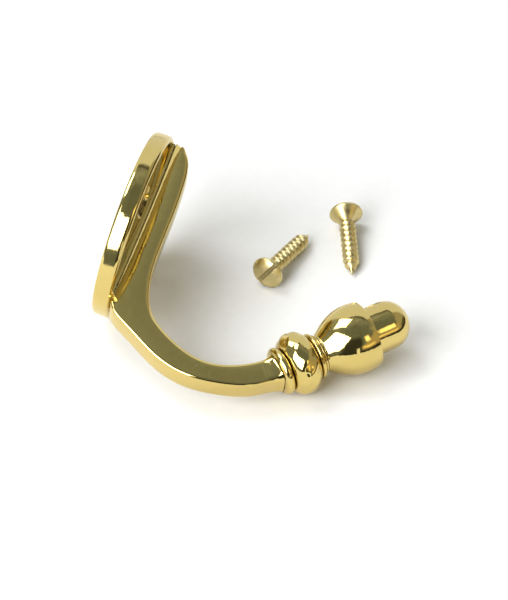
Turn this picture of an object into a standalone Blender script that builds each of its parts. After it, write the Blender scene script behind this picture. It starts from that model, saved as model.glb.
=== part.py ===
"""Brass curtain tieback hook: a round rose with a stem rib, a J-shaped arm and a stacked acorn
finial, with its two loose raised-countersunk wood screws.

Frame: metres, +Z up, +X out of the wall, origin at the centre of the rose's back face.
Named sizes are in millimetres. Parts named left are on the +Y side of the rose's centre.
"""

import math

import bmesh
import bpy
from mathutils import Matrix, Vector

MM = 0.001

POLISHED = {"colour": (0.88, 0.68, 0.28), "roughness": 0.12}
DULL = {"colour": (0.80, 0.68, 0.40), "roughness": 0.3}
SHARP_ANGLE = math.radians(35)

# screws that hold the stem to the rose, from the back
FIX_PLACES = (("upper", 9.0), ("lower", -9.0))  # tag, z
FIX_R = 1.5
FIX_HEAD_R = 2.9
FIX_TIP_X = 7.7

# bowed joint between the rose's seat and the stem's foot
FOOT_X = 4.5
FOOT_BOW = 0.0007
BAR_CUTS = 15

# finial, measured along its own axis from the middle of the knop
KNOP_X, KNOP_Z = 43.87, -17.79
FINIAL_ANGLE = math.radians(47.27)  # from +X towards +Z
FINIAL_DIR = Vector((math.cos(FINIAL_ANGLE), 0, math.sin(FINIAL_ANGLE)))
STUD_R = 1.5
BORE_R = STUD_R + 0.07
STUD_LOW, STUD_HIGH = -8.6, 21.4
ARM_END = -4.9


# ---------------------------------------------------------------- building helpers
def collection(name):
    made = bpy.data.collections.new(name)
    bpy.context.scene.collection.children.link(made)
    return made


def brass(name, colour, roughness):
    mat = bpy.data.materials.new(name)
    mat.use_nodes = True
    node = mat.node_tree.nodes["Principled BSDF"]
    node.inputs["Base Color"].default_value = (*colour, 1)
    node.inputs["Metallic"].default_value = 1.0
    node.inputs["Roughness"].default_value = roughness
    mat.diffuse_color = (*colour, 1)
    return mat


def add_part(name, mesh, finish=POLISHED):
    obj = bpy.data.objects.new(name, mesh)
    PARTS.objects.link(obj)
    mesh.materials.append(brass(name + "_brass", **finish))
    mesh.shade_smooth()
    mesh.set_sharp_from_angle(angle=SHARP_ANGLE)
    return obj


def add_helper(name, bm):
    """A hidden object for booleans."""
    obj = bpy.data.objects.new(name, finished_mesh(name, bm))
    CUTTERS.objects.link(obj)
    obj.hide_render = True
    obj.display_type = "WIRE"
    return obj


def finished_mesh(name, bm):
    mesh = bpy.data.meshes.new(name)
    bm.to_mesh(mesh)
    bm.free()
    return mesh


def boolean(obj, other, operation="DIFFERENCE"):
    mod = obj.modifiers.new(operation.title() + "_" + other.name, "BOOLEAN")
    mod.operation = operation
    mod.object = other
    mod.solver = "EXACT"


def turned(name, profile, steps=36, closed=False):
    """(radius, height) points in mm turned about local Z. An open profile has both its ends on
    the axis; a closed one is a loop round the section of a bored piece."""
    mesh = bpy.data.meshes.new(name)
    points = [(radius * MM, 0, height * MM) for radius, height in profile]
    count = len(points)
    edges = [(i, (i + 1) % count) for i in range(count if closed else count - 1)]
    mesh.from_pydata(points, edges, [])
    obj = add_part(name, mesh)
    mod = obj.modifiers.new("Turn", "SCREW")
    mod.axis = "Z"
    mod.angle = math.tau
    mod.steps = mod.render_steps = steps
    mod.use_merge_vertices = True
    mod.merge_threshold = 1e-6
    mod.use_smooth_shade = True
    return obj


def cone_cutter(name, low_radius, high_radius, low, high, segments):
    """A cone frustum about local Z, from height low to high."""
    bm = bmesh.new()
    bmesh.ops.create_cone(
        bm, cap_ends=True, cap_tris=False, segments=segments,
        radius1=low_radius * MM, radius2=high_radius * MM, depth=(high - low) * MM,
    )
    bmesh.ops.translate(bm, verts=bm.verts, vec=(0, 0, (low + high) / 2 * MM))
    return add_helper(name, bm)


def rod_cutter(name, radius, low, high):
    return cone_cutter(name, radius, radius, low, high, segments=24)


def slot_cutter(name, length, width, height, centre_height=0.0):
    """A box along local X for a screwdriver slot."""
    bm = bmesh.new()
    bmesh.ops.create_cube(bm, size=1.0)
    bmesh.ops.scale(bm, vec=Vector((length, width, height)) * MM, verts=bm.verts)
    bmesh.ops.translate(bm, vec=(0, 0, centre_height * MM), verts=bm.verts)
    return add_helper(name, bm)


def foot_x(z):
    """X of the joint face between the rose's seat and the stem's foot."""
    return FOOT_X - FOOT_BOW * z * z


def bowed_bar(name, back_x, front_x, back_half_w, front_half_w, end_r, edge, back_bowed):
    """An upright bar whose front, and if asked its back, follows the bow of the joint. Its ends
    follow a circle of radius end_r, and its long front edges are bevelled by edge."""
    bm = bmesh.new()
    bmesh.ops.create_cube(bm, size=1.0)
    long_edges = [e for e in bm.edges if abs(e.verts[0].co.z - e.verts[1].co.z) > 0.5]
    bmesh.ops.subdivide_edges(bm, edges=long_edges, cuts=BAR_CUTS, use_grid_fill=True)
    front_edges = [
        e for e in bm.edges
        if all(v.co.x > 0.49 for v in e.verts)
        and abs(e.verts[0].co.y - e.verts[1].co.y) < 1e-6
        and abs(abs(e.verts[0].co.y) - 0.5) < 1e-6
    ]
    for vert in bm.verts:
        in_front = vert.co.x > 0
        y = vert.co.y * 2 * (front_half_w if in_front else back_half_w)
        z = vert.co.z * 2 * math.sqrt(end_r**2 - y**2)
        x = front_x if in_front else back_x
        if in_front or back_bowed:
            x += foot_x(z) - FOOT_X
        vert.co = Vector((x, y, z)) * MM
    bmesh.ops.bevel(
        bm, geom=front_edges, offset=edge * MM, segments=2, profile=0.5, affect="EDGES"
    )
    bmesh.ops.recalc_face_normals(bm, faces=bm.faces)
    return add_helper(name, bm)


def along_x(obj, x=0.0, y=0.0, z=0.0):
    """Turns local Z onto world +X."""
    obj.rotation_euler = (0, math.pi / 2, 0)
    obj.location = (x * MM, y * MM, z * MM)
    return obj


def on_finial(obj):
    """Turns local Z onto the finial's axis, with its origin in the middle of the knop."""
    obj.rotation_euler = (0, math.pi / 2 - FINIAL_ANGLE, 0)
    obj.location = (KNOP_X * MM, 0, KNOP_Z * MM)
    return obj


# ---------------------------------------------------------------- rose
ROSE_R = 19.8
FIELD_R = 17.5
FIELD_RIM_X = 2.65
FIELD_RISE = 1.15
FIELD_STATIONS = (0.0, 4, 8, 11, 13.5, 15.8, FIELD_R)
# (radius, x) over the raised lip and round the edge to the middle of the back
ROSE_RIM = [
    (17.9, 3.0), (18.2, 3.55), (18.55, 3.82), (18.95, 3.87), (19.35, 3.72), (19.65, 3.42),
    (19.79, 3.0), (ROSE_R, 1.5), (19.72, 0.6), (19.5, 0.15), (19.3, 0.0), (0.0, 0.0),
]
SEAT_BACK_X = 1.6  # inside the rose
SEAT_GAP = 0.1
SEAT_HALF_W = 4.75
SEAT_END_R = 19.2
HOLE_Y = 11.1
HOLE_R = 2.1
SINK_R = 4.2
SINK_MOUTH_X = 3.6
SINK_OVERSHOOT = 2.0
FIX_HOLE_CLEARANCE = 0.1
FIX_SINK_CLEARANCE = 0.25


def rose_front(radius):
    """X of the rose's sunk, domed field."""
    return FIELD_RIM_X + FIELD_RISE * (1 - (radius / FIELD_R) ** 2)


def cut_wood_screw_hole(plate, tag, y):
    """A through hole with a 90 degree countersink in the front."""
    boolean(plate, along_x(rod_cutter("screw_hole_" + tag, HOLE_R, -1, 6), y=y))
    tip_r = HOLE_R * 0.5
    sink = cone_cutter(
        "countersink_" + tag, tip_r, SINK_R + SINK_OVERSHOOT,
        SINK_MOUTH_X - SINK_R + tip_r, SINK_MOUTH_X + SINK_OVERSHOOT, segments=40,
    )
    boolean(plate, along_x(sink, y=y))


def cut_fixing_hole(plate, tag, z):
    """A through hole with a 90 degree countersink in the back."""
    hole = rod_cutter("fix_hole_" + tag, FIX_R + FIX_HOLE_CLEARANCE, -1, 7)
    boolean(plate, along_x(hole, z=z))
    mouth_r = FIX_HEAD_R + FIX_SINK_CLEARANCE
    tip_r = FIX_R * 0.5
    sink = cone_cutter("fix_sink_" + tag, mouth_r + 1, tip_r, -1, mouth_r - tip_r, segments=32)
    boolean(plate, along_x(sink, z=z))


def make_backplate():
    field = [(radius, rose_front(radius)) for radius in FIELD_STATIONS]
    plate = along_x(turned("backplate", field + ROSE_RIM, steps=56))
    seat = bowed_bar(
        "seat_bar", back_x=SEAT_BACK_X, front_x=FOOT_X - SEAT_GAP,
        back_half_w=SEAT_HALF_W, front_half_w=SEAT_HALF_W,
        end_r=SEAT_END_R, edge=0.5, back_bowed=False,
    )
    boolean(plate, seat, "UNION")
    for tag, y in (("left", HOLE_Y), ("right", -HOLE_Y)):
        cut_wood_screw_hole(plate, tag, y)
    for tag, z in FIX_PLACES:
        cut_fixing_hole(plate, tag, z)


# ---------------------------------------------------------------- stem and arm
FOOT_T = 1.0
FOOT_BACK_HALF_W = 4.45
FOOT_FRONT_HALF_W = 2.85
FOOT_END_R = 19.5
STEM_INSET = 0.45  # from the foot's back face to the stem's
STEM_TOP_Z = 19.65
ARM_HALF_W = 2.75
ARM_EDGE_R = 0.8
ARM_END_HALF = 2.55
# (x, z) down the front of the stem and along the inside of the arm
STEM_FRONT = (
    (6.9, 19.3), (7.8, 17.2), (8.45, 14.6), (8.85, 10.3), (9.1, 6.0), (9.15, 1.0),
    (9.2, -4.0), (9.4, -9.0), (10.05, -13.0), (11.3, -16.9), (13.6, -20.0),
    (18.0, -22.9), (23.8, -25.1), (29.7, -24.9), (34.6, -22.7),
)
# (x, z) back along the outside of the arm
ARM_OUTER = (
    (36.3, -27.6), (32.7, -28.85), (29.1, -29.65), (25.3, -30.1), (22.5, -30.0),
    (19.9, -29.5), (16.7, -28.3), (13.9, -26.9), (10.2, -25.15), (7.1, -22.8),
)
# (x, z) where the outside of the arm meets the back of the stem
HEEL = ((3.7, -20.3), (4.02, -19.6))
STEM_BACK_Z = (-13, -6.5, 0, 6.5, 13)


def arm_outline():
    """(x, z, sharp) of the side view of the stem and arm, from the top of the foot down the
    front of the stem, round the arm and up the back."""
    side = Vector((-FINIAL_DIR.z, 0, FINIAL_DIR.x))
    end = Vector((KNOP_X, 0, KNOP_Z)) + FINIAL_DIR * ARM_END
    upper, lower = end + side * ARM_END_HALF, end - side * ARM_END_HALF
    points = [(foot_x(FOOT_END_R) + STEM_INSET, STEM_TOP_Z, True)]
    points += [(x, z, False) for x, z in STEM_FRONT]
    points += [(upper.x, upper.z, True), (lower.x, lower.z, True)]
    points += [(x, z, False) for x, z in ARM_OUTER]
    points += [(x, z, True) for x, z in HEEL]
    points += [(foot_x(z) + STEM_INSET, z, False) for z in STEM_BACK_Z]
    return points


def arm_mesh():
    """The outline filled in local XY and thickened with rounded edges, by way of a curve."""
    data = bpy.data.curves.new("hook_arm_outline", "CURVE")
    data.dimensions = "2D"
    data.fill_mode = "BOTH"
    data.resolution_u = 4
    data.extrude = (ARM_HALF_W - ARM_EDGE_R) * MM
    data.bevel_depth = ARM_EDGE_R * MM
    data.bevel_resolution = 1
    data.offset = -ARM_EDGE_R * MM
    spline = data.splines.new("BEZIER")
    outline = arm_outline()
    spline.bezier_points.add(len(outline) - 1)
    for point, (x, z, sharp) in zip(spline.bezier_points, outline):
        point.co = (x * MM, z * MM, 0)
        point.handle_left_type = point.handle_right_type = "VECTOR" if sharp else "AUTO"
    spline.use_cyclic_u = True
    curve = bpy.data.objects.new("hook_arm_outline", data)
    CUTTERS.objects.link(curve)
    bpy.context.view_layer.update()
    depsgraph = bpy.context.evaluated_depsgraph_get()
    mesh = bpy.data.meshes.new_from_object(curve.evaluated_get(depsgraph))
    bpy.data.objects.remove(curve)
    # the curve's fill and bevel come as separate shells, so weld them
    bm = bmesh.new()
    bm.from_mesh(mesh)
    bmesh.ops.remove_doubles(bm, verts=bm.verts, dist=1e-6)
    bmesh.ops.recalc_face_normals(bm, faces=bm.faces)
    bm.to_mesh(mesh)
    bm.free()
    mesh.name = "hook_arm"
    return mesh


def make_hook_arm():
    arm = add_part("hook_arm", arm_mesh())
    arm.rotation_euler = (math.pi / 2, 0, 0)
    foot = bowed_bar(
        "foot_bar", back_x=FOOT_X, front_x=FOOT_X + FOOT_T,
        back_half_w=FOOT_BACK_HALF_W, front_half_w=FOOT_FRONT_HALF_W,
        end_r=FOOT_END_R, edge=0.12, back_bowed=True,
    )
    boolean(arm, foot, "UNION")
    boolean(arm, on_finial(rod_cutter("stud_bore", BORE_R, STUD_LOW - 0.15, ARM_END + 2)))
    for tag, z in FIX_PLACES:
        bore = rod_cutter("fix_bore_" + tag, FIX_R + 0.08, 3.5, FIX_TIP_X + 0.15)
        boolean(arm, along_x(bore, z=z))


FIX_HEAD_X = 0.12
FIX_SLOT_W = 0.75
FIX_SLOT_FLOOR_X = 0.9
SLOT_CUTTER_H = 2.0


def make_fixing_screw(tag, z):
    """A countersunk machine screw, its head in the rose's back, its shank in the stem."""
    name = "arm_fixing_screw_" + tag
    profile = [
        (0.0, FIX_TIP_X), (FIX_R - 0.35, FIX_TIP_X), (FIX_R, FIX_TIP_X - 0.4),
        (FIX_R, FIX_HEAD_R - FIX_R + FIX_HEAD_X), (FIX_HEAD_R, FIX_HEAD_X), (0.0, FIX_HEAD_X),
    ]
    screw = along_x(turned(name, profile, steps=20), z=z)
    slot = slot_cutter(name + "_slot", length=8, width=FIX_SLOT_W, height=SLOT_CUTTER_H)
    boolean(screw, along_x(slot, x=FIX_SLOT_FLOOR_X - SLOT_CUTTER_H / 2, z=z))


# ---------------------------------------------------------------- finial
JOINT_GAP = 0.1
# heights of each piece's ends, from the arm outwards
COLLAR_LOW, COLLAR_HIGH = ARM_END + JOINT_GAP, -2.75
KNOP_LOW, KNOP_HIGH = COLLAR_HIGH + JOINT_GAP, 3.3
RINGS_LOW, RINGS_HIGH = KNOP_HIGH + JOINT_GAP, 5.2
CUP_LOW, CUP_HIGH = RINGS_HIGH + JOINT_GAP, 15.75
NUT_LOW = CUP_HIGH + JOINT_GAP
KNOP_R = 6.62
KNOP_ARC_R = 3.28
NUT_R = 5.05
NUT_DOME_BASE, NUT_DOME_RISE = 20.6, 4.8
# (radius, height) down the outside of the acorn cup
CUP_OUTSIDE = [
    (5.4, CUP_HIGH), (6.3, 15.9), (6.8, 16.2), (6.95, 16.1), (7.15, 15.2), (7.28, 14.2),
    (7.3, 13.3), (7.2, 12.2), (6.98, 11.1), (6.62, 10.0), (6.12, 8.9), (5.5, 7.8),
    (4.85, 6.85), (4.25, 6.1), (4.0, 5.7), (3.95, CUP_LOW),
]


def arc(centre, radii, start, stop, count):
    """(radius, height) points of an ellipse's arc, angles in degrees from +radius."""
    angles = [math.radians(start + (stop - start) * i / (count - 1)) for i in range(count)]
    return [
        (centre[0] + radii[0] * math.cos(angle), centre[1] + radii[1] * math.sin(angle))
        for angle in angles
    ]


def make_bored(name, outside, steps=36):
    """A finial piece bored for the stud, from its outer (radius, height) points, top first."""
    profile = [(BORE_R, outside[0][1]), *outside, (BORE_R, outside[-1][1])]
    on_finial(turned(name, profile, steps, closed=True))


def make_collar():
    bead = arc((4.15, -3.75), (0.9, 0.95), 75, -75, 7)
    make_bored("arm_collar", [(4.1, COLLAR_HIGH), *bead, (3.9, COLLAR_LOW)])


def make_knop():
    bulge = arc((KNOP_R - KNOP_ARC_R, 0.33), (KNOP_ARC_R, KNOP_ARC_R), 65, -65, 15)
    make_bored("turned_knop", [(4.2, KNOP_HIGH), *bulge, (4.2, KNOP_LOW)], steps=48)


def make_neck_rings():
    small = arc((3.8, 4.9), (0.45, 0.3), 70, -60, 5)
    large = arc((4.2, 3.98), (0.75, 0.52), 65, -80, 7)
    make_bored("neck_rings", [(3.75, RINGS_HIGH), *small, *large, (3.9, RINGS_LOW)])


def make_acorn_nut():
    """The domed tip, with a blind bore that ends in a shallow cone."""
    dome = arc((0.0, NUT_DOME_BASE), (NUT_R, NUT_DOME_RISE), 80, 6, 9)
    profile = [
        (0.0, NUT_DOME_BASE + NUT_DOME_RISE), *dome,
        (NUT_R, 19.8), (NUT_R, 16.1), (NUT_R - 0.2, NUT_LOW), (BORE_R, NUT_LOW),
        (BORE_R, STUD_HIGH + 0.3), (0.0, STUD_HIGH + 0.6),
    ]
    on_finial(turned("acorn_nut", profile))


def make_stud():
    """The chamfered rod through the finial, its lower end in the arm."""
    profile = [
        (0.0, STUD_HIGH), (STUD_R - 0.3, STUD_HIGH), (STUD_R, STUD_HIGH - 0.35),
        (STUD_R, STUD_LOW + 0.35), (STUD_R - 0.3, STUD_LOW), (0.0, STUD_LOW),
    ]
    on_finial(turned("finial_stud", profile, steps=24))


# ---------------------------------------------------------------- wood screws
# No. 6, nominal 5/8 in; heights run from the base of the head's dome, with the tip below
WOOD_HEAD_R = 3.5
WOOD_DOME = 1.25
WOOD_CROWN_R = 0.35  # flat on top of the dome
WOOD_RIM_T = 0.25
WOOD_LENGTH = 16.6
WOOD_THREAD_R = 1.75
WOOD_ROOT_R = 1.25
WOOD_PITCH = 1.41
WOOD_RIDGE_HALF = 0.32  # half the ridge's base, in pitches
WOOD_RUN_IN = 1.2  # length over which the thread rises under the head
WOOD_TAPER = 3.6  # length of the point
WOOD_TIP_SCALE = 0.08
WOOD_SLOT_W = 0.95
WOOD_SLOT_D = 1.15
SHANK_TOP = -(WOOD_RIM_T + WOOD_HEAD_R - WOOD_ROOT_R - 0.1)
# mesh rings, counted from the top of the head
AROUND, ALONG = 16, 64
DOME_RINGS, RIM_RING, HEAD_RINGS = 4, 5, 7
# name: head centre, the way the tip points, roll in degrees
LOOSE_SCREWS = {
    "wood_screw_right": ((40.27, 18.76, 29.69), (0.3742, -0.1879, -0.9081), 78.0),
    "wood_screw_left": ((29.95, 14.0, 7.5), (0.2711, 0.3473, 0.8978), 31.0),
}


def wood_screw_section(ring, turn):
    """Radius and height of the screw's surface at a ring, a fraction of a turn round."""
    if ring <= DOME_RINGS:
        angle = math.radians(90 * ring / DOME_RINGS)
        return max(WOOD_CROWN_R, WOOD_HEAD_R * math.sin(angle)), WOOD_DOME * math.cos(angle)
    if ring <= HEAD_RINGS:
        part = (ring - RIM_RING) / (HEAD_RINGS - RIM_RING)
        radius = WOOD_HEAD_R - part * (WOOD_HEAD_R - WOOD_ROOT_R)
        return radius, -WOOD_RIM_T + part * (SHANK_TOP + WOOD_RIM_T)
    part = (ring - HEAD_RINGS) / (ALONG - HEAD_RINGS)
    z = SHANK_TOP + part * (-WOOD_LENGTH - SHANK_TOP)
    phase = (-z / WOOD_PITCH - turn) % 1.0
    ridge = max(0.0, 1 - abs(phase - 0.5) / WOOD_RIDGE_HALF)
    run_in = min(1.0, (SHANK_TOP - z) / WOOD_RUN_IN)
    taper = WOOD_TIP_SCALE + (WOOD_LENGTH + z) / WOOD_TAPER * (1 - WOOD_TIP_SCALE)
    radius = WOOD_ROOT_R + (WOOD_THREAD_R - WOOD_ROOT_R) * ridge * run_in
    return radius * min(1.0, taper), z


def wood_screw_mesh(name):
    """A grid wrapped round local Z, closed along its seam and capped at both ends."""
    bm = bmesh.new()
    bmesh.ops.create_grid(bm, x_segments=AROUND, y_segments=ALONG, size=0.5)
    for vert in bm.verts:
        turn = vert.co.x + 0.5
        radius, z = wood_screw_section(round((vert.co.y + 0.5) * ALONG), turn)
        angle = math.tau * turn
        vert.co = Vector((radius * math.cos(angle), radius * math.sin(angle), z)) * MM
    bmesh.ops.remove_doubles(bm, verts=bm.verts, dist=1e-7)
    bmesh.ops.holes_fill(bm, edges=bm.edges, sides=0)
    bmesh.ops.recalc_face_normals(bm, faces=bm.faces)
    return finished_mesh(name, bm)


def make_wood_screw(name, centre, direction, roll):
    screw = add_part(name, wood_screw_mesh(name), DULL)
    slot = slot_cutter(
        name + "_slot", length=WOOD_HEAD_R * 3, width=WOOD_SLOT_W, height=SLOT_CUTTER_H,
        centre_height=WOOD_DOME - WOOD_SLOT_D + SLOT_CUTTER_H / 2,
    )
    head_up = -Vector(direction).normalized()
    screw.matrix_world = slot.matrix_world = (
        Matrix.Translation(Vector(centre) * MM)
        @ head_up.to_track_quat("Z", "Y").to_matrix().to_4x4()
        @ Matrix.Rotation(math.radians(roll), 4, "Z")
    )
    boolean(screw, slot)


# ---------------------------------------------------------------- build
for old in list(bpy.data.objects):
    bpy.data.objects.remove(old, do_unlink=True)
PARTS = collection("curtain_tieback_hook")
CUTTERS = collection("cutters")

make_backplate()
make_hook_arm()
for fix_tag, fix_z in FIX_PLACES:
    make_fixing_screw(fix_tag, fix_z)
make_collar()
make_knop()
make_neck_rings()
make_bored("acorn_cup", CUP_OUTSIDE, steps=40)
make_acorn_nut()
make_stud()
for screw_name, place in LOOSE_SCREWS.items():
    make_wood_screw(screw_name, *place)
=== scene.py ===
"""Looks for a brass curtain tieback hook, with two loose wood screws, lying on a table.

The back of the round rose is the plane x = 0 and its face looks along +X. The arm runs down the rose
(-Z), bends out along +X and ends in an acorn finial that leans up and outwards in the XZ plane.
Y runs across the width. Shapes are written in mm and stored in metres.
"""

import math

import bmesh
import bpy
import numpy as np
from mathutils import Matrix, Vector


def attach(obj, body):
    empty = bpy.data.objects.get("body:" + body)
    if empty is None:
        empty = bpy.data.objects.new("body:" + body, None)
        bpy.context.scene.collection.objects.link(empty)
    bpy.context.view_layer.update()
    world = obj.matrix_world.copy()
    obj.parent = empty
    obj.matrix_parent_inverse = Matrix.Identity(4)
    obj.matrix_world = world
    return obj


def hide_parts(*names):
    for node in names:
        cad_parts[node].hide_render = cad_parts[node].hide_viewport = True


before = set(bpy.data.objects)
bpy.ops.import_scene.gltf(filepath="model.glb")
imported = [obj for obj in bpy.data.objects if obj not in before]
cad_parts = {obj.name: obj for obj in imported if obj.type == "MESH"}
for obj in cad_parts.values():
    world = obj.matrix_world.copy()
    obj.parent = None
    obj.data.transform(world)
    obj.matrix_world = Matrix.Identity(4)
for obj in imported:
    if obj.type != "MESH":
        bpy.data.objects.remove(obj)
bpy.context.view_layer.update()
MM = 0.001

# ------------------------------------------------------------------ sizes shared with the CAD, mm
ROSE_R = 19.8
HOLE_Y, HOLE_R = 11.1, 2.1
CSK_R, CSK_MOUTH_X = 4.2, 3.6  # countersink of the two holes at its mouth

SEAT_HALF_W, SEAT_END_R, SEAT_GAP = 4.75, 19.2, 0.1  # raised bar on the rose
FOOT_HALF_W, FOOT_TOP_HALF_W, FOOT_END_R = 4.45, 2.85, 19.5  # bar of the arm that lies on the seat
FOOT_X, FOOT_T = 4.5, 1.0
FOOT_BOW = 0.0007  # fall in x per square mm of z

ARM_HALF_W, ARM_END_HALF = 2.75, 2.55
ARM_END_S = -4.9  # where the arm stops, along the finial axis

FIX_Z, FIX_R, FIX_HEAD_R = 9.0, 1.5, 2.9  # screws through the rose into the arm
FIX_HEAD_X, FIX_DEPTH_X = 0.12, 7.7
FIX_GAP, FIX_HEAD_GAP, FIX_BORE_GAP = 0.1, 0.25, 0.08
BLIND_GAP = 0.15  # room past the end of a screw or stud

KNOP_X, KNOP_Z, FINIAL_DEG = 43.87, -17.79, 47.27
STUD_R, BORE_R, STUD_FROM, STUD_TO = 1.5, 1.57, -8.6, 21.4
STUD_PITCH, STUD_THREAD_DEPTH, STUD_THREAD_FROM = 0.5, 0.3, 5.5
NUT_R = 5.05

WOOD_HEAD_R, WOOD_DOME, WOOD_RIM, WOOD_LENGTH = 3.5, 1.25, 0.24, 16.6
WOOD_THREAD_R, WOOD_ROOT_R, WOOD_PITCH = 1.75, 1.25, 1.41
WOOD_SLOT_W, WOOD_SLOT_D = 0.95, 1.15
# each loose screw: place of the head, direction from head to tip, roll in degrees
LOOSE_RIGHT = ((40.27, 18.76, 29.69), (0.3742, -0.1879, -0.9081), 78.0)
LOOSE_LEFT = ((29.95, 14.0, 7.5), (0.2711, 0.3473, 0.8978), 31.0)

FINIAL_LEAN = math.radians(FINIAL_DEG)
FINIAL_DIR = Vector((math.cos(FINIAL_LEAN), 0, math.sin(FINIAL_LEAN)))
FINIAL_MATRIX = Matrix.Translation((KNOP_X, 0, KNOP_Z)) @ Matrix.Rotation(
    math.radians(90 - FINIAL_DEG), 4, "Y"
)


def along_x(y=0.0, z=0.0):
    """Turns local Z to +X and moves it to (y, z)."""
    return Matrix.Translation((0, y, z)) @ Matrix.Rotation(math.pi / 2, 4, "Y")


def pose(right, up, back, at):
    """The matrix with these local X, Y and Z axes and this origin."""
    matrix = Matrix((right, up, back)).transposed().to_4x4()
    matrix.translation = at
    return matrix


# ------------------------------------------------------------------ curves
def arc(centre_x, centre_y, radius_x, radius_y, start, stop, count):
    """Points on an ellipse, from start to stop in degrees."""
    a = np.radians(np.linspace(start, stop, count))
    points = [centre_x + radius_x * np.cos(a), centre_y + radius_y * np.sin(a)]
    return np.stack(points, 1).tolist()


def gaussian(sigma, step=1):
    """A normalised kernel reaching four sigma each way."""
    half = max(1, int(4 * sigma / step))
    kernel = np.exp(-0.5 * (np.arange(-half, half + 1) * step / sigma) ** 2)
    return kernel / kernel.sum(), half


def blur(padded, kernel):
    columns = [np.convolve(column, kernel, "valid") for column in padded.T]
    return np.stack(columns, 1)


def smooth_rows(values, sigma):
    """Gaussian smoothing down the rows, the ends carried straight on."""
    kernel, half = gaussian(sigma)
    head = 2 * values[:1] - values[1 : half + 1][::-1]
    tail = 2 * values[-1:] - values[-half - 1 : -1][::-1]
    return blur(np.vstack([head, values, tail]), kernel)


def soften(outline, sigma, closed, longest=0.5):
    """Rounds the corners of an outline with a Gaussian, then thins it.

    It keeps most points where it curves. An open outline starts and ends on the axis, where it is
    mirrored.
    """
    step = 0.02  # spacing of the even resampling, mm
    turn = 6.0  # bend between kept points, degrees
    points = np.array(outline, float)
    if closed:
        points = np.vstack([points, points[:1]])
    run = np.concatenate([[0], np.cumsum(np.hypot(*np.diff(points, axis=0).T))])
    count = max(16, int(run[-1] / step))
    even = np.linspace(0, run[-1], count, endpoint=not closed)
    fine = np.stack([np.interp(even, run, points[:, k]) for k in (0, 1)], 1)

    kernel, half = gaussian(sigma, step)
    if closed:
        padded = np.vstack([fine[-half:], fine, fine[:half]])
    else:
        flip = np.array([-1, 1])
        head = fine[1 : half + 1][::-1] * flip
        tail = fine[-half - 1 : -1][::-1] * flip
        padded = np.vstack([head, fine, tail])
    fine = blur(padded, kernel)

    ring = np.vstack([fine, fine[:1]]) if closed else fine
    edge = np.diff(ring, axis=0)
    heading = np.unwrap(np.arctan2(edge[:, 1], edge[:, 0]))
    bend = np.abs(np.gradient(heading))
    weight = np.hypot(*edge.T) / longest + np.degrees(bend) / turn
    total = np.concatenate([[0], np.cumsum(weight)])
    kept = np.linspace(0, total[-1], int(total[-1]) + 8, endpoint=not closed)
    thinned = np.stack([np.interp(kept, total, ring[:, k]) for k in (0, 1)], 1)
    if not closed:
        thinned[0, 0] = thinned[-1, 0] = 0.0
    return thinned


def spline(points, count):
    """A natural cubic spline through points, read at even steps along its chord length."""
    value = np.array(points, float)
    knot = np.concatenate([[0], np.cumsum(np.linalg.norm(np.diff(value, axis=0), axis=1))])
    size, gap = len(knot), np.diff(knot)
    system, target = np.zeros((size, size)), np.zeros(value.shape)
    system[0, 0] = system[-1, -1] = 1
    for i in range(1, size - 1):
        system[i, i - 1 : i + 2] = gap[i - 1], 2 * (gap[i - 1] + gap[i]), gap[i]
        after = (value[i + 1] - value[i]) / gap[i]
        before = (value[i] - value[i - 1]) / gap[i - 1]
        target[i] = 3 * (after - before)
    square = np.linalg.solve(system, target)
    gap = gap[:, None]
    cube = (square[1:] - square[:-1]) / (3 * gap)
    slope = (value[1:] - value[:-1]) / gap - gap * (2 * square[:-1] + square[1:]) / 3
    at = np.linspace(0, knot[-1], count)
    i = np.clip(np.searchsorted(knot, at, side="right") - 1, 0, size - 2)
    past = (at - knot[i])[:, None]
    return value[i] + slope[i] * past + square[i] * past**2 + cube[i] * past**3


def rounded_box(
    half_a, half_b, radius, crown_a=0.0, crown_b=0.0, corner=9, side=14, low_radius=None
):
    """A rounded rectangle as (a, b) points anticlockwise.

    The crowns swell its sides; low_radius rounds the -a corners.
    """
    high = min(radius, 0.93 * half_a, 0.93 * half_b)
    low = min(low_radius or radius, 0.93 * half_a, 0.93 * half_b)

    def on_corner(k, angle):
        k %= 4
        rounding = high if k in (0, 3) else low
        centre_a = (half_a - rounding) * (1 if k in (0, 3) else -1)
        centre_b = (half_b - rounding) * (1 if k in (0, 1) else -1)
        return centre_a + rounding * math.cos(angle), centre_b + rounding * math.sin(angle)

    points = []
    for k in range(4):
        turn = math.pi / 2 * k
        points += [on_corner(k, turn + math.pi / 2 * i / (corner - 1)) for i in range(corner)]
        start = on_corner(k, turn + math.pi / 2)
        stop = on_corner(k + 1, turn + math.pi / 2)
        for i in range(1, side):
            f = i / side
            points.append([(1 - f) * s + f * e for s, e in zip(start, stop)])
    points = np.array(points)
    a, b = points.T.copy()
    swell_a = np.clip(1 - (b / half_b) ** 2, 0, 1) * (np.abs(a) / half_a) ** 2
    swell_b = np.clip(1 - (a / half_a) ** 2, 0, 1) * (np.abs(b) / half_b) ** 2
    points[:, 0] += np.sign(a) * crown_a * swell_a
    points[:, 1] += np.sign(b) * crown_b * swell_b
    return points


# ------------------------------------------------------------------ meshes
def place(points, matrix):
    m = np.array(matrix)
    return points @ m[:3, :3].T + m[:3, 3]


def shade(obj, sharp=38):
    obj.data.shade_smooth()
    obj.data.set_sharp_from_angle(angle=math.radians(sharp))


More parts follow.
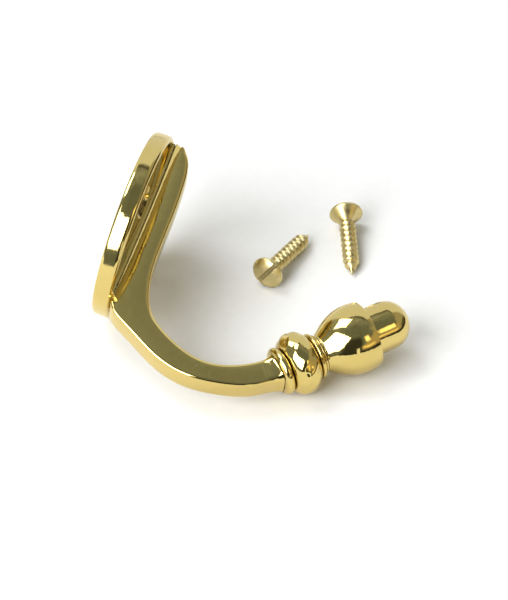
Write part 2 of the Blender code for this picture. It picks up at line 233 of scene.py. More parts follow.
def new_piece(name, verts, faces, sharp=38):
    """A closed mesh from points in mm, with its faces turned outwards."""
    mesh = bpy.data.meshes.new(name)
    points = (np.asarray(verts, float) * MM).tolist()
    mesh.from_pydata(points, [], [list(map(int, face)) for face in faces])
    bm = bmesh.new()
    bm.from_mesh(mesh)
    if bm.calc_volume(signed=True) < 0:
        bmesh.ops.reverse_faces(bm, faces=bm.faces)
    bm.to_mesh(mesh)
    bm.free()
    obj = bpy.data.objects.new(name, mesh)
    bpy.context.scene.collection.objects.link(obj)
    shade(obj, sharp)
    return obj


def grid_faces(rows, cols, wrap_rows):
    """Quads between rows of closed rings."""
    r = np.arange(rows if wrap_rows else rows - 1)
    r, c = np.meshgrid(r, np.arange(cols), indexing="ij")
    r1, c1 = (r + 1) % rows, (c + 1) % cols
    quads = np.stack([r * cols + c, r * cols + c1, r1 * cols + c1, r1 * cols + c], -1)
    return quads.reshape(-1, 4).tolist()


def grid_piece(name, points, wrap_rows=False, matrix=None, sharp=38):
    """Rows of closed rings in mm, joined end to end if wrap_rows is set, else closed by fans."""
    rows, cols = points.shape[:2]
    verts = points.reshape(-1, 3)
    faces = grid_faces(rows, cols, wrap_rows)
    if not wrap_rows:
        for row in (0, rows - 1):
            pole = len(verts)
            verts = np.vstack([verts, points[row].mean(0)])
            base = row * cols
            for i in range(cols):
                j = (i + 1) % cols
                edge = [base + j, base + i] if row == 0 else [base + i, base + j]
                faces.append([*edge, pole])
    if matrix is not None:
        verts = place(verts, matrix)
    return new_piece(name, verts, faces, sharp)


def turned(name, outline, matrix, steps=160, closed=True, sigma=0.07, longest=0.5, raw=False):
    """A (radius, height) outline in mm turned about local Z; raw leaves its corners sharp.

    A closed outline makes a ring; an open one starts and ends on the axis.
    """
    profile = np.array(outline, float) if raw else soften(outline, sigma, closed, longest)
    angle = np.linspace(0, math.tau, steps, endpoint=False)
    body = profile if closed else profile[1:-1]
    x = body[:, None, 0] * np.cos(angle)[None]
    y = body[:, None, 0] * np.sin(angle)[None]
    rings = np.stack([x, y, np.repeat(body[:, 1:], steps, 1)], -1)
    if closed:
        return grid_piece(name, rings, True, matrix)
    rows = len(body)
    verts = np.vstack([rings.reshape(-1, 3), [0, 0, profile[0, 1]], [0, 0, profile[-1, 1]]])
    faces = grid_faces(rows, steps, False)
    last = (rows - 1) * steps
    pole = rows * steps
    for i in range(steps):
        j = (i + 1) % steps
        faces.append([j, i, pole])
        faces.append([last + i, last + j, pole + 1])
    return new_piece(name, place(verts, matrix), faces)


def drill(outline, matrix, steps):
    """A sharp-cornered turned cutter."""
    return turned("drill", outline, matrix, steps=steps, closed=False, raw=True)


def level_ring(radius, height, share):
    """A ring about local Z; share is the angle as a fraction of a turn."""
    angle = math.tau * share
    points = [radius * np.cos(angle), radius * np.sin(angle), np.full(len(share), height)]
    return np.stack(points, 1)


def discard(obj):
    data = obj.data
    bpy.data.objects.remove(obj)
    bpy.data.meshes.remove(data)


def combine(obj, other, operation):
    """Applies an exact Boolean and removes the other object."""
    mod = obj.modifiers.new("cut", "BOOLEAN")
    mod.operation, mod.object, mod.solver = operation, other, "EXACT"
    graph = bpy.context.evaluated_depsgraph_get()
    mesh = bpy.data.meshes.new_from_object(obj.evaluated_get(graph))
    obj.modifiers.clear()
    old = obj.data
    obj.data = mesh
    mesh.name = old.name
    bpy.data.meshes.remove(old)
    discard(other)
    shade(obj)
    return obj


def join(objs):
    """Several separate closed cutters as one mesh."""
    bm = bmesh.new()
    for obj in objs:
        bm.from_mesh(obj.data)
    mesh = bpy.data.meshes.new("cutters")
    bm.to_mesh(mesh)
    bm.free()
    for obj in objs:
        discard(obj)
    joined = bpy.data.objects.new("cutters", mesh)
    bpy.context.scene.collection.objects.link(joined)
    return joined


def bar(name, half_w, low_x, high_x, end_r, radius, low_bowed, top_half_w=None):
    """The bar of the seat or the foot, a rounded section swept along Z with its ends on a circle.

    Its face bows; its underside bows too if low_bowed is set.
    """
    rows = 130
    thick = high_x - low_x
    section = rounded_box(thick / 2, half_w, radius, corner=10, side=10)
    if top_half_w:
        section[:, 1] *= 1 + (top_half_w / half_w - 1) * (0.5 + section[:, 0] / thick)
    upper = (section[:, 0] + thick / 2) / thick
    rings = []
    for i in range(rows):
        f = -1 + 2 * i / (rows - 1)
        z = f * np.sqrt(end_r**2 - section[:, 1] ** 2)
        bow = -FOOT_BOW * z * z
        x = (low_x + high_x) / 2 + section[:, 0] + bow * (1.0 if low_bowed else upper)
        rings.append(np.stack([x, section[:, 1], z], 1))
    return grid_piece(name, np.array(rings))


# ------------------------------------------------------------------ rose
FIELD_R, FIELD_EDGE_X, FIELD_RISE = 17.5, 2.65, 1.15  # domed field inside the rim
# (radius, x) over the rim and round to the back
ROSE_RIM = [
    (17.9, 3.0), (18.2, 3.55), (18.55, 3.82), (18.95, 3.87), (19.35, 3.72), (19.65, 3.42),
    (19.79, 3.0), (ROSE_R, 1.5), (19.72, 0.6), (19.5, 0.15), (19.3, 0.0), (0.0, 0.0),
]
SEAT_LOW_X = 1.6


def rose_cutters():
    """Two countersunk holes from the face, and two for the fixing screws from the back."""
    front, back = 8.0, -1.0  # x clear of the rose on either side
    hole = [
        (0, front), (CSK_R + front - CSK_MOUTH_X, front), (CSK_R, CSK_MOUTH_X),
        (HOLE_R, CSK_MOUTH_X - (CSK_R - HOLE_R)), (HOLE_R, back), (0, back),
    ]
    front = 7.0
    cone_x = FIX_HEAD_R + FIX_HEAD_GAP - FIX_R - FIX_GAP
    fix = [
        (0, front), (FIX_R + FIX_GAP, front), (FIX_R + FIX_GAP, cone_x),
        (FIX_HEAD_R + FIX_HEAD_GAP - back, back), (0, back),
    ]
    cutters = [drill(hole, along_x(y=y), steps=120) for y in (HOLE_Y, -HOLE_Y)]
    cutters += [drill(fix, along_x(z=z), steps=96) for z in (FIX_Z, -FIX_Z)]
    return join(cutters)


def make_backplate():
    field = [
        (r, FIELD_EDGE_X + FIELD_RISE * (1 - (r / FIELD_R) ** 2))
        for r in np.arange(0.0, FIELD_R + 0.01, 0.5)
    ]
    rose = turned(
        "backplate_brass", field + ROSE_RIM, along_x(),
        steps=288, closed=False, sigma=0.06, longest=0.4,
    )
    seat = bar(
        "seat", SEAT_HALF_W, SEAT_LOW_X, FOOT_X - SEAT_GAP, SEAT_END_R, radius=0.6, low_bowed=False
    )
    combine(rose, seat, "UNION")
    return combine(rose, rose_cutters(), "DIFFERENCE")


# ------------------------------------------------------------------ arm
# front and back of each cross-section, as (x, z) of the side view, from the top down
ARM_PAIRS = (
    ((5.9, 19.68), (4.72, 19.6)),
    ((6.9, 19.15), (4.72, 19.05)),
    ((7.75, 17.3), (4.75, 17.3)),
    ((8.45, 14.6), (4.8, 14.6)),
    ((8.85, 10.3), (4.88, 10.3)),
    ((9.1, 6.0), (4.92, 6.0)),
    ((9.15, 1.0), (4.95, 1.0)),
    ((9.2, -4.0), (4.93, -4.4)),
    ((9.4, -9.0), (4.88, -10.4)),
    ((10.05, -13.0), (4.6, -16.3)),
    ((11.3, -16.9), (3.8, -20.45)),
    ((13.6, -20.0), (8.4, -23.7)),
    ((18.0, -22.9), (14.7, -27.4)),
    ((23.8, -25.1), (22.9, -30.05)),
    ((29.7, -24.9), (31.3, -29.2)),
    ((34.6, -22.7), (37.2, -27.2)),
)
ARM_ROWS, ARM_BLUR = 420, 9.0
FLARE, FLARE_LENGTH, FLARE_POWER = 0.75, 2.4, 2.4  # swelling at the finial end


def arm_rings():
    side = Vector((-FINIAL_DIR.z, 0, FINIAL_DIR.x))
    end = Vector((KNOP_X, 0, KNOP_Z)) + FINIAL_DIR * ARM_END_S
    upper, lower = end + side * ARM_END_HALF, end - side * ARM_END_HALF
    pairs = [(*front, *back) for front, back in ARM_PAIRS]
    pairs.append((upper.x, upper.z, lower.x, lower.z))
    rows = smooth_rows(spline(pairs, ARM_ROWS), ARM_BLUR)
    rings = []
    for row in rows:
        front, back = row[:2], row[2:]
        half = np.linalg.norm(front - back) / 2
        to_end = np.linalg.norm(rows[-1] - row) / 2
        flare = FLARE * max(0.0, 1 - to_end / FLARE_LENGTH) ** FLARE_POWER
        # a runs from back to front, b across the width
        section = rounded_box(
            half + flare, ARM_HALF_W + flare, radius=0.92 + 1.2 * flare,
            crown_a=0.10, crown_b=0.05, low_radius=0.5 + 1.6 * flare,
        )
        xz = (front + back) / 2 + section[:, :1] * ((front - back) / (2 * half))
        rings.append(np.stack([xz[:, 0], section[:, 1], xz[:, 1]], 1))
    return np.array(rings)


def arm_cutters():
    """Blind bores for the finial stud and the two fixing screws."""

    def bore(radius, high, low):
        return [(0, high), (radius, high), (radius, low), (0, low)]

    stud = bore(BORE_R, ARM_END_S + 2, STUD_FROM - BLIND_GAP)
    fix = bore(FIX_R + FIX_BORE_GAP, FIX_DEPTH_X + BLIND_GAP, 3.5)
    cutters = [drill(stud, FINIAL_MATRIX, steps=48)]
    cutters += [drill(fix, along_x(z=z), steps=48) for z in (FIX_Z, -FIX_Z)]
    return join(cutters)


def make_hook_arm():
    arm = grid_piece("hook_arm_brass", arm_rings())
    foot = bar(
        "foot", FOOT_HALF_W, FOOT_X, FOOT_X + FOOT_T, FOOT_END_R,
        radius=0.08, low_bowed=True, top_half_w=FOOT_TOP_HALF_W,
    )
    combine(arm, foot, "UNION")
    return combine(arm, arm_cutters(), "DIFFERENCE")


# ------------------------------------------------------------------ screws
def slot_cutter(width, low, high, reach, matrix):
    """A bar along local X, its two lower edges chamfered, for a slot across a screw head."""
    half, chamfer = width / 2, 0.08
    outline = [
        (-half, high), (-half, low + chamfer), (-half + chamfer, low),
        (half - chamfer, low), (half, low + chamfer), (half, high),
    ]
    rows = np.array([[(x, y, z) for y, z in outline] for x in (reach, -reach)])
    return grid_piece("slot", rows, matrix=matrix)


def make_fixing_screw(name, z, slot_deg):
    """A countersunk screw along +X, its slotted head at the back of the rose."""
    outline = [
        (0.0, FIX_DEPTH_X), (FIX_R - 0.35, FIX_DEPTH_X), (FIX_R, FIX_DEPTH_X - 0.4),
        (FIX_R, FIX_HEAD_R - FIX_R + FIX_HEAD_X), (FIX_HEAD_R, FIX_HEAD_X), (0.0, FIX_HEAD_X),
    ]
    screw = turned(name, outline, along_x(z=z), steps=96, closed=False, sigma=0.04)
    spin = Matrix.Rotation(math.radians(slot_deg), 4, "Z")
    matrix = along_x(z=z) @ spin @ Matrix.Rotation(math.pi, 4, "X")
    slot = slot_cutter(width=0.75, low=-0.9, high=1.2, reach=3.6, matrix=matrix)
    return combine(screw, slot, "DIFFERENCE")


WOOD_CONE = WOOD_HEAD_R - WOOD_ROOT_R
WOOD_SHANK_TOP = -(WOOD_CONE + 0.15)


def wood_head_outline():
    """(radius, height) from the top of the dome down to the shank."""
    dome = np.radians(np.linspace(0, 84, 16))
    outline = [(WOOD_HEAD_R * math.sin(a), WOOD_DOME * math.cos(a)) for a in dome]
    outline += [(WOOD_HEAD_R, 0.0), (WOOD_HEAD_R, -WOOD_RIM)]
    outline += [
        (WOOD_HEAD_R - f * WOOD_CONE, -WOOD_RIM - f * (WOOD_CONE - 0.1))
        for f in np.linspace(0.06, 1, 14)
    ]
    outline += [(WOOD_ROOT_R, -WOOD_CONE - 0.7), (0.0, -WOOD_CONE - 0.7)]
    outline = soften(outline, sigma=0.07, closed=False, longest=0.4)
    return outline[outline[:, 1] >= WOOD_SHANK_TOP + 0.05]


def wood_thread_radius(height, share):
    """Radii round one ring of the shank, which tapers to a point."""
    phase = (-height / WOOD_PITCH - share) % 1.0
    ridge = (0.5 + 0.5 * np.cos(math.tau * (phase - 0.5))) ** 0.62
    start = min(1.0, (WOOD_SHANK_TOP - height) / 1.0)
    left = WOOD_LENGTH + height
    shrink = min(1.0, 0.04 + left / 3.2 * 0.96)
    tip = min(1.0, 0.1 + left / 2.6)
    thread = (WOOD_THREAD_R - WOOD_ROOT_R) * ridge * start * min(1.0, shrink + 0.18) * tip
    return WOOD_ROOT_R * shrink + thread


def make_wood_screw(name, where):
    """A slotted wood screw with a domed head, its tip along local -Z."""
    at, direction, roll = where
    turn = (-Vector(direction)).to_track_quat("Z", "Y").to_matrix().to_4x4()
    matrix = Matrix.Translation(at) @ turn @ Matrix.Rotation(math.radians(roll), 4, "Z")
    share = np.linspace(0, 1, 72, endpoint=False)
    rings = [level_ring(radius, height, share) for radius, height in wood_head_outline()[1:]]
    rows = 330
    for i in range(rows + 1):
        height = WOOD_SHANK_TOP + i / rows * (-WOOD_LENGTH - WOOD_SHANK_TOP)
        rings.append(level_ring(wood_thread_radius(height, share), height, share))
    screw = grid_piece(name, np.array(rings), matrix=matrix, sharp=50)
    slot = slot_cutter(
        WOOD_SLOT_W, low=WOOD_DOME - WOOD_SLOT_D, high=WOOD_DOME + 1,
        reach=WOOD_HEAD_R * 1.5, matrix=matrix,
    )
    return combine(screw, slot, "DIFFERENCE")


# ------------------------------------------------------------------ finial
# outlines are (radius, height), the height along the finial axis from the origin of FINIAL_MATRIX
def make_collar():
    outline = [(BORE_R, -2.75), (4.1, -2.75)]
    outline += arc(4.15, -3.75, 0.9, 0.95, 75, -75, 24)
    outline += [(3.9, -4.8), (BORE_R, -4.8)]
    return turned("arm_collar_brass", outline, FINIAL_MATRIX, longest=0.3)


def make_knop():
    outline = [(BORE_R, 3.3), (4.2, 3.3)]
    outline += arc(3.34, 0.33, 3.28, 3.28, 65, -65, 60)
    outline += [(4.2, -2.65), (BORE_R, -2.65)]
    knop = turned("turned_knop_brass", outline, FINIAL_MATRIX, steps=224, longest=0.25)
    # shallow twisted facets left by the polishing of the bead
    facets, twist, depth = 11, 0.16, 0.075
    fade_from, fade_over = 4.4, 1.6  # radii over which they grow to full depth
    to_local = FINIAL_MATRIX.inverted()
    for vert in knop.data.vertices:
        local = to_local @ (vert.co / MM)
        radius = math.hypot(local.x, local.y)
        wave = math.cos(facets * (math.atan2(local.y, local.x) + twist * local.z))
        swell = depth * min(1.0, max(0.0, radius - fade_from) / fade_over) * wave / radius
        local.x, local.y = local.x * (1 + swell), local.y * (1 + swell)
        vert.co = (FINIAL_MATRIX @ local) * MM
    shade(knop)
    return knop


def make_neck_rings():
    outline = [(BORE_R, 5.2), (3.75, 5.2)]
    outline += arc(3.8, 4.9, 0.45, 0.3, 70, -60, 16)
    outline += arc(4.2, 3.98, 0.75, 0.52, 65, -80, 20)
    outline += [(3.9, 3.4), (BORE_R, 3.4)]
    return turned("neck_rings_brass", outline, FINIAL_MATRIX, longest=0.3, sigma=0.05)


# (radius, height) down the outside of the acorn cup
CUP_BOWL = [
    (6.95, 16.1), (7.15, 15.2), (7.28, 14.2), (7.3, 13.3), (7.2, 12.2), (6.98, 11.1),
    (6.62, 10.0), (6.12, 8.9), (5.5, 7.8), (4.85, 6.85), (4.3, 6.1), (3.98, 5.65),
]


def make_cup():
    outline = [(BORE_R, 15.75), (5.4, 15.75), (6.3, 15.9), (6.78, 16.2)]
    outline += smooth_rows(spline(CUP_BOWL, 160), 7.0).tolist()
    outline += [(3.95, 5.3), (BORE_R, 5.3)]
    return turned(
        "acorn_cup_brass", outline, FINIAL_MATRIX, steps=256, longest=0.25, sigma=0.05
    )


def make_nut():
    """The domed nut, with a blind bore for the stud."""
    outline = [(0.0, 25.4)]
    outline += arc(0.0, 20.6, NUT_R, 4.8, 88, 4, 60)
    outline += [
        (NUT_R + 0.02, 19.6), (NUT_R + 0.02, 18.6), (NUT_R - 0.03, 17.3), (NUT_R - 0.1, 16.1),
        (NUT_R - 0.3, 15.85), (BORE_R, 15.85), (BORE_R, STUD_TO + 0.3), (0.0, STUD_TO + 0.6),
    ]
    return turned(
        "acorn_nut_brass", outline, FINIAL_MATRIX,
        steps=200, closed=False, longest=0.3, sigma=0.06,
    )


def make_stud():
    """The rod through the finial, threaded over its upper part."""
    share = np.linspace(0, 1, 48, endpoint=False)
    inner = np.arange(STUD_FROM + 0.04, STUD_TO - 0.02, 0.05)
    rings = []
    for height in np.concatenate([[STUD_FROM], inner, [STUD_TO]]):
        phase = (height / STUD_PITCH - share) % 1.0
        groove = STUD_THREAD_DEPTH * np.clip(1.25 - 2.5 * np.abs(phase - 0.5), 0, 1)
        threaded = 1.0 if height > STUD_THREAD_FROM else 0.0
        # both ends narrow to three quarters over the last 0.3 mm
        above, below = STUD_TO - height, height - STUD_FROM
        taper = min(1.0, above / 0.3 * 0.25 + 0.75, below / 0.3 * 0.25 + 0.75)
        rings.append(level_ring((STUD_R - groove * threaded) * taper, height, share))
    return grid_piece("finial_stud_thread", np.array(rings), matrix=FINIAL_MATRIX)


# ------------------------------------------------------------------ finishes
class NodeNet:
    """A little helper for building the nodes of a material or a world."""

    def __init__(self, name, world=False):
        self.block = (bpy.data.worlds if world else bpy.data.materials).new(name)
        self.block.use_nodes = True
        self.tree = self.block.node_tree
        self.tree.nodes.clear()
        self.out = self.add("ShaderNodeOutputWorld" if world else "ShaderNodeOutputMaterial")

    def add(self, kind, inputs=None, **props):
        node = self.tree.nodes.new(kind)
        for key, value in props.items():
            setattr(node, key, value)
        for key, value in (inputs or {}).items():
            self.set(node, key, value)
        return node

    def set(self, node, key, value):
        socket = node.inputs[key]
        if isinstance(value, bpy.types.NodeSocket):
            self.tree.links.new(value, socket)
        elif isinstance(value, bpy.types.Node):
            self.tree.links.new(value.outputs[0], socket)
        else:
            socket.default_value = value

    def finish(self, surface):
        self.set(self.out, "Surface", surface)
        return self.block

    def where(self, output="Object"):
        return self.add("ShaderNodeTexCoord").outputs[output]

    def camera_ray(self):
        return self.add("ShaderNodeLightPath").outputs["Is Camera Ray"]

    def math(self, operation, a, b=0.0):
        return self.add("ShaderNodeMath", {0: a, 1: b}, operation=operation).outputs[0]

    def noise(self, vector, scale, detail=3.0, roughness=0.5, stretch=None):
        if stretch is not None:
            inputs = {"Vector": vector, "Scale": stretch}
            vector = self.add("ShaderNodeMapping", inputs).outputs[0]
        inputs = {"Vector": vector, "Scale": scale, "Detail": detail, "Roughness": roughness}
        return self.add("ShaderNodeTexNoise", inputs).outputs["Fac"]

    def ramp(self, value, start, stop, low=0.0, high=1.0):
        """Maps start..stop to low..high, clamped."""
        inputs = {0: value, 1: start, 2: stop, 3: low, 4: high}
        return self.add("ShaderNodeMapRange", inputs, clamp=True).outputs[0]

    def mix(self, factor, a, b):
        """Mixes two colours, which are sockets 6 and 7 of the node."""
        inputs = {0: factor, 6: a, 7: b}
        return self.add("ShaderNodeMix", inputs, data_type="RGBA").outputs[2]

    def crevice(self, distance, start, stop):
        """1 in crevices narrower than about the distance, 0 in the open."""
        node = self.add("ShaderNodeAmbientOcclusion", {"Distance": distance}, samples=6)
        return self.ramp(node.outputs["AO"], start, stop)

    def metal(self, colour, roughness, height, **coat):
        bump = self.add(
            "ShaderNodeBump", {"Height": height, "Strength": 1.0, "Distance": 0.000042}
        )
        inputs = {
            "Base Color": colour, "Metallic": 1.0, "Roughness": roughness, "Normal": bump,
        }
        inputs.update({"Coat " + key: value for key, value in coat.items()})
        return self.finish(self.add("ShaderNodeBsdfPrincipled", inputs))


def polished_brass(name, streak=(30.0, 30.0, 4.0), residue=None, worn=0.12):
    """Mirror-polished lacquered brass.

    It has soft waviness, faint polishing streaks, specks of compound, and in crevices tarnish with
    painted shade.
    streak stretches the streaks, worn is the strength of the fine bumps.
    """
    net = NodeNet(name)
    where = net.where()
    wave = net.noise(where, scale=190.0)
    fine = net.noise(where, scale=900.0, detail=2.0)
    lines = net.noise(where, scale=160.0, detail=4.0, roughness=0.65, stretch=streak)
    tint = net.noise(where, scale=90.0)
    dots = net.noise(where, scale=2300.0, detail=1.0, roughness=0.4)
    specks = net.ramp(dots, start=0.70, stop=0.76)
    patches = net.ramp(net.noise(where, scale=120.0, detail=2.0), start=0.52, stop=0.68)
    specks = net.math("MULTIPLY", specks, patches)
    # painted shade with tarnish: ambient occlusion darkens crevices towards dark brown and roughens
    # them
    crevice_tarnish_and_shade = net.crevice(distance=0.0011, start=0.62, stop=0.12)

    pale, deep = (0.80, 0.64, 0.245, 1), (0.76, 0.605, 0.215, 1)
    compound, tarnish_and_shade_colour = (0.95, 0.83, 0.55, 1), (0.30, 0.17, 0.055, 1)
    colour = net.mix(net.ramp(tint, start=0.35, stop=0.65), deep, pale)
    colour = net.mix(net.math("MULTIPLY", specks, 0.5), colour, compound)
    colour = net.mix(net.math("MULTIPLY", crevice_tarnish_and_shade, 0.75), colour, tarnish_and_shade_colour)

    streaks = net.ramp(lines, start=0.4, stop=0.75, low=0.045, high=0.12)
    rough = net.math("ADD", streaks, net.math("MULTIPLY", specks, 0.12))
    rough = net.math("ADD", rough, net.math("MULTIPLY", crevice_tarnish_and_shade, 0.3))
    if residue is not None:
        rough, colour = residue(net, where, rough, colour)

    height = net.math("MULTIPLY", wave, 1.0)
    height = net.math("ADD", height, net.math("MULTIPLY", fine, worn))
    height = net.math("ADD", height, net.math("MULTIPLY", lines, 0.06))
    return net.metal(colour, rough, height, Weight=0.25, Roughness=0.04, IOR=1.45)


def hole_residue(net, where, rough, colour):
    """Brown compound left in the two countersunk holes of the rose."""
    split = net.add("ShaderNodeSeparateXYZ", {0: where})
    across = net.math("SUBTRACT", net.math("ABSOLUTE", split.outputs[1]), HOLE_Y * MM)
    across_squared = net.math("POWER", across, 2.0)
    up_squared = net.math("POWER", split.outputs[2], 2.0)
    radius = net.math("SQRT", net.math("ADD", across_squared, up_squared))
    ragged = net.math("SUBTRACT", net.noise(where, scale=900.0), 0.5)
    edge = net.math("ADD", radius, net.math("MULTIPLY", ragged, 0.0012))
    inside = net.ramp(edge, start=0.0040, stop=0.0033)
    cloud = net.noise(where, scale=700.0, detail=4.0)
    amount = net.ramp(cloud, start=0.3, stop=0.6, low=0.35, high=0.95)
    grime = net.math("MULTIPLY", inside, amount)
    colour = net.mix(grime, colour, (0.34, 0.20, 0.07, 1))
    rough = net.math("ADD", rough, net.math("MULTIPLY", grime, 0.35))
    return rough, colour


def screw_brass(name):
    """Plain turned brass, satin and a little dull, with tumbling marks, and painted shade with some
    tarnish in its crevices.
    """
    net = NodeNet(name)
    where = net.where()
    cloud = net.noise(where, scale=420.0, detail=4.0, roughness=0.6)
    scratch = net.noise(where, scale=1500.0, roughness=0.6)
    # painted shade with some tarnish: ambient occlusion darkens the thread valleys and the slot to
    # dark brown
    crevice_tarnish_and_shade = net.crevice(distance=0.0009, start=0.92, stop=0.45)
    dull, bright, tarnish_and_shade_colour = (0.66, 0.56, 0.28, 1), (0.80, 0.685, 0.37, 1), (0.19, 0.15, 0.065, 1)
    colour = net.mix(net.ramp(cloud, start=0.35, stop=0.65), dull, bright)
    colour = net.mix(net.math("MULTIPLY", crevice_tarnish_and_shade, 0.85), colour, tarnish_and_shade_colour)
    rough = net.ramp(cloud, start=0.3, stop=0.7, low=0.24, high=0.40)
    height = net.math("ADD", cloud, net.math("MULTIPLY", scratch, 0.5))
    return net.metal(colour, rough, height)


# ------------------------------------------------------------------ pieces on the frame
plate_brass = polished_brass("rose_polished_brass", residue=hole_residue)
arm_brass = polished_brass("arm_polished_brass", streak=(4.0, 30.0, 8.0))
turned_brass = polished_brass("finial_polished_brass", worn=0.3)
plain_brass = screw_brass("plain_screw_brass")


def finish_piece(obj, material, node, body="root"):
    """Gives a piece its brass and puts it in place of a CAD node."""
    obj.data.materials.clear()
    obj.data.materials.append(material)
    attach(obj, body)
    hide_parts(node)


finish_piece(make_backplate(), plate_brass, "backplate")
finish_piece(make_hook_arm(), arm_brass, "hook_arm")
for tag, z, slot_deg in (("upper", FIX_Z, 25), ("lower", -FIX_Z, -40)):
    screw = make_fixing_screw("fixing_screw_" + tag, z, slot_deg)
    finish_piece(screw, plain_brass, "arm_fixing_screw_" + tag)
finish_piece(make_collar(), turned_brass, "arm_collar")
finish_piece(make_knop(), turned_brass, "turned_knop")
finish_piece(make_neck_rings(), turned_brass, "neck_rings")
finish_piece(make_cup(), turned_brass, "acorn_cup", body="cup")
finish_piece(make_nut(), turned_brass, "acorn_nut", body="nut")
finish_piece(make_stud(), plain_brass, "finial_stud")
for tag, where in (("right", LOOSE_RIGHT), ("left", LOOSE_LEFT)):
    screw = make_wood_screw("loose_screw_" + tag, where)
    finish_piece(screw, plain_brass, "wood_screw_" + tag)

# ------------------------------------------------------------------ camera
CAM_RIGHT = Vector((0.94041, -0.08732, 0.32865))
CAM_UP = Vector((-0.32967, -0.47105, 0.81818))
CAM_BACK = Vector((0.08337, -0.87777, -0.47177))
CAM_AT = Vector((115.92, -896.313, -488.929)) * MM


def make_camera():
    data = bpy.data.cameras.new("camera")
    data.lens, data.sensor_width = 300.0, 36.0
    data.clip_start, data.clip_end = 0.05, 20.0
    camera = bpy.data.objects.new("camera", data)
    bpy.context.scene.collection.objects.link(camera)
    camera.matrix_world = pose(CAM_RIGHT, CAM_UP, CAM_BACK, CAM_AT)
    bpy.context.scene.camera = camera


make_camera()

# ------------------------------------------------------------------ table
TABLE_UP = Vector((-0.189, -0.937, 0.292)).normalized()
TABLE_RIGHT = (CAM_RIGHT - CAM_RIGHT.dot(TABLE_UP) * TABLE_UP).normalized()
TABLE_AWAY = TABLE_UP.cross(TABLE_RIGHT).normalized()
TABLE_GAP = 0.00002  # metres below the lowest CAD point
# extent on the table, metres
TABLE_LEFT_EDGE, TABLE_RIGHT_EDGE, TABLE_NEAR_EDGE, TABLE_FAR_EDGE = -1.3, 0.135, -0.130, 1.3


def table_material():
    """Pale diffuse from above, clear from below; reflections see it darker and warmer, a painted
    shade and painted gold bounce light.
    """
    net = NodeNet("plain_table")
    grain = net.noise(net.where(), scale=500.0)
    speckle = net.ramp(grain, start=0.3, stop=0.7)
    colour = net.mix(speckle, (0.855, 0.865, 0.885, 1), (0.875, 0.885, 0.905, 1))
    # painted shade and warm bounce light: rays other than camera rays see a darker, warmer table
    colour = net.mix(net.camera_ray(), (0.74, 0.72, 0.66, 1), colour)
    diffuse = net.add("ShaderNodeBsdfDiffuse", {"Color": colour})
    clear = net.add("ShaderNodeBsdfTransparent")
    below = net.add("ShaderNodeNewGeometry").outputs["Backfacing"]
    return net.finish(net.add("ShaderNodeMixShader", {0: below, 1: diffuse, 2: clear}))


def make_table():
    lowest = min(
        Vector(vert.co).dot(TABLE_UP)
        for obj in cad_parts.values()
        for vert in obj.data.vertices
    )
    material = table_material()
    corners = [
        (TABLE_LEFT_EDGE, TABLE_NEAR_EDGE), (TABLE_RIGHT_EDGE, TABLE_NEAR_EDGE),
        (TABLE_RIGHT_EDGE, TABLE_FAR_EDGE), (TABLE_LEFT_EDGE, TABLE_FAR_EDGE),
    ]
    bm = bmesh.new()
    bm.faces.new([bm.verts.new((right, away, 0.0)) for right, away in corners])
    mesh = bpy.data.meshes.new("table")
    bm.to_mesh(mesh)
    bm.free()
    mesh.materials.append(material)
    table = bpy.data.objects.new("table", mesh)
    bpy.context.scene.collection.objects.link(table)
    at = TABLE_UP * (lowest - TABLE_GAP)
    table.matrix_world = pose(TABLE_RIGHT, TABLE_AWAY, TABLE_UP, at)


make_table()

# ------------------------------------------------------------------ light
LIGHT_AIM = Vector((0.025, 0.0, -0.005))
LIGHT_DISTANCE = 1.0


def softbox(name, size, strength, azimuth, height):
    """An area light aimed at the hook.

    Seen from the hook it stands at an azimuth (0 right, 90 away) and a height over the table, in
    degrees. Its power is the strength times pi times its area.
    """
    data = bpy.data.lights.new(name, "AREA")
    data.shape, data.size, data.size_y = "RECTANGLE", size[0], size[1]
    data.energy = strength * math.pi * size[0] * size[1]
    obj = bpy.data.objects.new(name, data)
    bpy.context.scene.collection.objects.link(obj)
    a, h = math.radians(azimuth), math.radians(height)
    back = (
        TABLE_RIGHT * (math.cos(a) * math.cos(h))
        + TABLE_AWAY * (math.sin(a) * math.cos(h))
        + TABLE_UP * math.sin(h)
    )
    right = TABLE_UP.cross(back).normalized()
    obj.matrix_world = pose(right, back.cross(right), back, LIGHT_AIM + back * LIGHT_DISTANCE)
    obj.visible_camera = False


softbox("softbox_high", size=(0.45, 0.54), strength=5.0, azimuth=150, height=60)
softbox("softbox_low", size=(0.97, 0.8), strength=6.5, azimuth=224, height=33)

# Patches of the room, later ones over earlier ones, in degrees:
# (azimuth from, to, softness), (height from, to, softness), colour, height climbs with azimuth
ROOM_PATCHES = (
    ((38, 132, 5), (-30, 58, 1.5), (0.78, 0.78, 0.74), False),  # pale backdrop
    ((38, 150, 5), (59.5, 64, 1.5), (0.10, 0.10, 0.09), False),  # dark strip above it
    ((-107, -61, 4), (-60, 46, 7), (0.045, 0.045, 0.04), False),  # dark camera side
    ((-64, 36, 3), (-40, 17, 3), (0.50, 0.40, 0.21), True),  # warm wood
    ((-12, 37, 5), (-5, 50, 5), (0.40, 0.37, 0.27), False),  # greyer panel on the right
    ((-6, 30, 5), (3, 12, 3), (0.10, 0.085, 0.05), False),  # dark strip low on it
    ((-51, -36, 3), (25, 41, 3), (2.2, 1.8, 0.9), False),  # bright warm patch
    ((-62, -29, 3), (9, 14, 2.5), (1.5, 1.15, 0.5), False),  # bright strip below it
    ((-108, 37, 3), (-95, 3.5, 2), (0.04, 0.036, 0.03), False),  # dark low down
    ((-77, -70, 0.8), (-9, 12, 1.5), (1.1, 1.1, 1.0), False),  # narrow bright upright
)
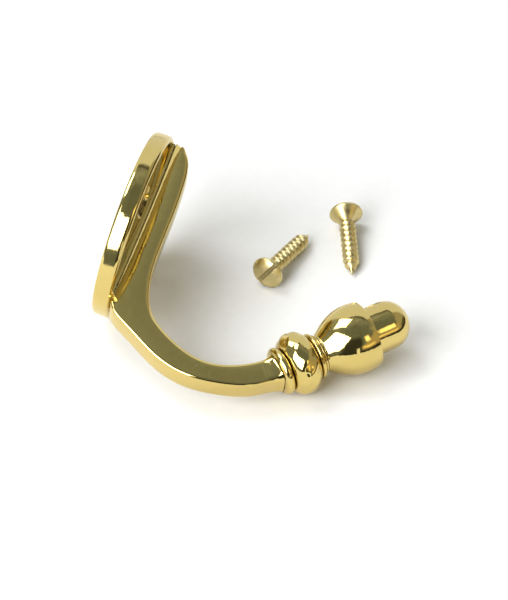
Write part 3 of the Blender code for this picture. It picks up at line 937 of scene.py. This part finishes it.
CLIMB_FROM, CLIMB = 62.0, 0.42  # climb starts at azimuth -62, degrees of height per degree


def make_room():
    """The studio as the brass reflects it; the camera sees plain white."""
    net = NodeNet("studio", world=True)
    look = net.where("Generated")

    def along(axis):
        inputs = {0: look, 1: tuple(axis)}
        return net.add("ShaderNodeVectorMath", inputs, operation="DOT_PRODUCT").outputs["Value"]

    def window(value, start, stop, soft):
        opening = net.ramp(value, start - soft, start + soft)
        closing = net.ramp(value, stop + soft, stop - soft)
        return net.math("MULTIPLY", opening, closing)

    right, away, up = along(TABLE_RIGHT), along(TABLE_AWAY), along(TABLE_UP)
    to_degrees = 180 / math.pi
    azimuth = net.math("MULTIPLY", net.math("ARCTAN2", away, right), to_degrees)
    height = net.math("MULTIPLY", net.math("ARCSINE", up), to_degrees)

    # grey surroundings, lightest towards azimuth 105, with darker clouds
    off_axis = net.math("SUBTRACT", azimuth, 105.0)
    facing = net.math("COSINE", net.math("MULTIPLY", off_axis, math.pi / 180))
    cloth = net.noise(look, scale=4.5, roughness=0.55)
    lightness = net.ramp(facing, start=-0.8, stop=0.9)
    colour = net.mix(lightness, (0.17, 0.195, 0.185, 1), (0.36, 0.385, 0.36, 1))
    clouds = net.ramp(cloth, start=0.35, stop=0.65, low=0.0, high=0.6)
    colour = net.mix(clouds, colour, (0.13, 0.13, 0.11, 1))

    for across, upwards, light, climbs in ROOM_PATCHES:
        measured = height
        if climbs:
            climb = net.math("MULTIPLY", net.math("ADD", azimuth, CLIMB_FROM), CLIMB)
            measured = net.math("SUBTRACT", height, climb)
        inside = net.math("MULTIPLY", window(azimuth, *across), window(measured, *upwards))
        colour = net.mix(inside, colour, (*light, 1))

    room = net.add("ShaderNodeBackground", {0: colour})
    plain = net.add("ShaderNodeBackground", {0: (0.97, 0.97, 0.97, 1)})
    seen = net.camera_ray()
    surface = net.add("ShaderNodeMixShader", {0: seen, 1: room, 2: plain})
    bpy.context.scene.world = net.finish(surface)


make_room()

bpy.context.scene.view_settings.view_transform = "Standard"
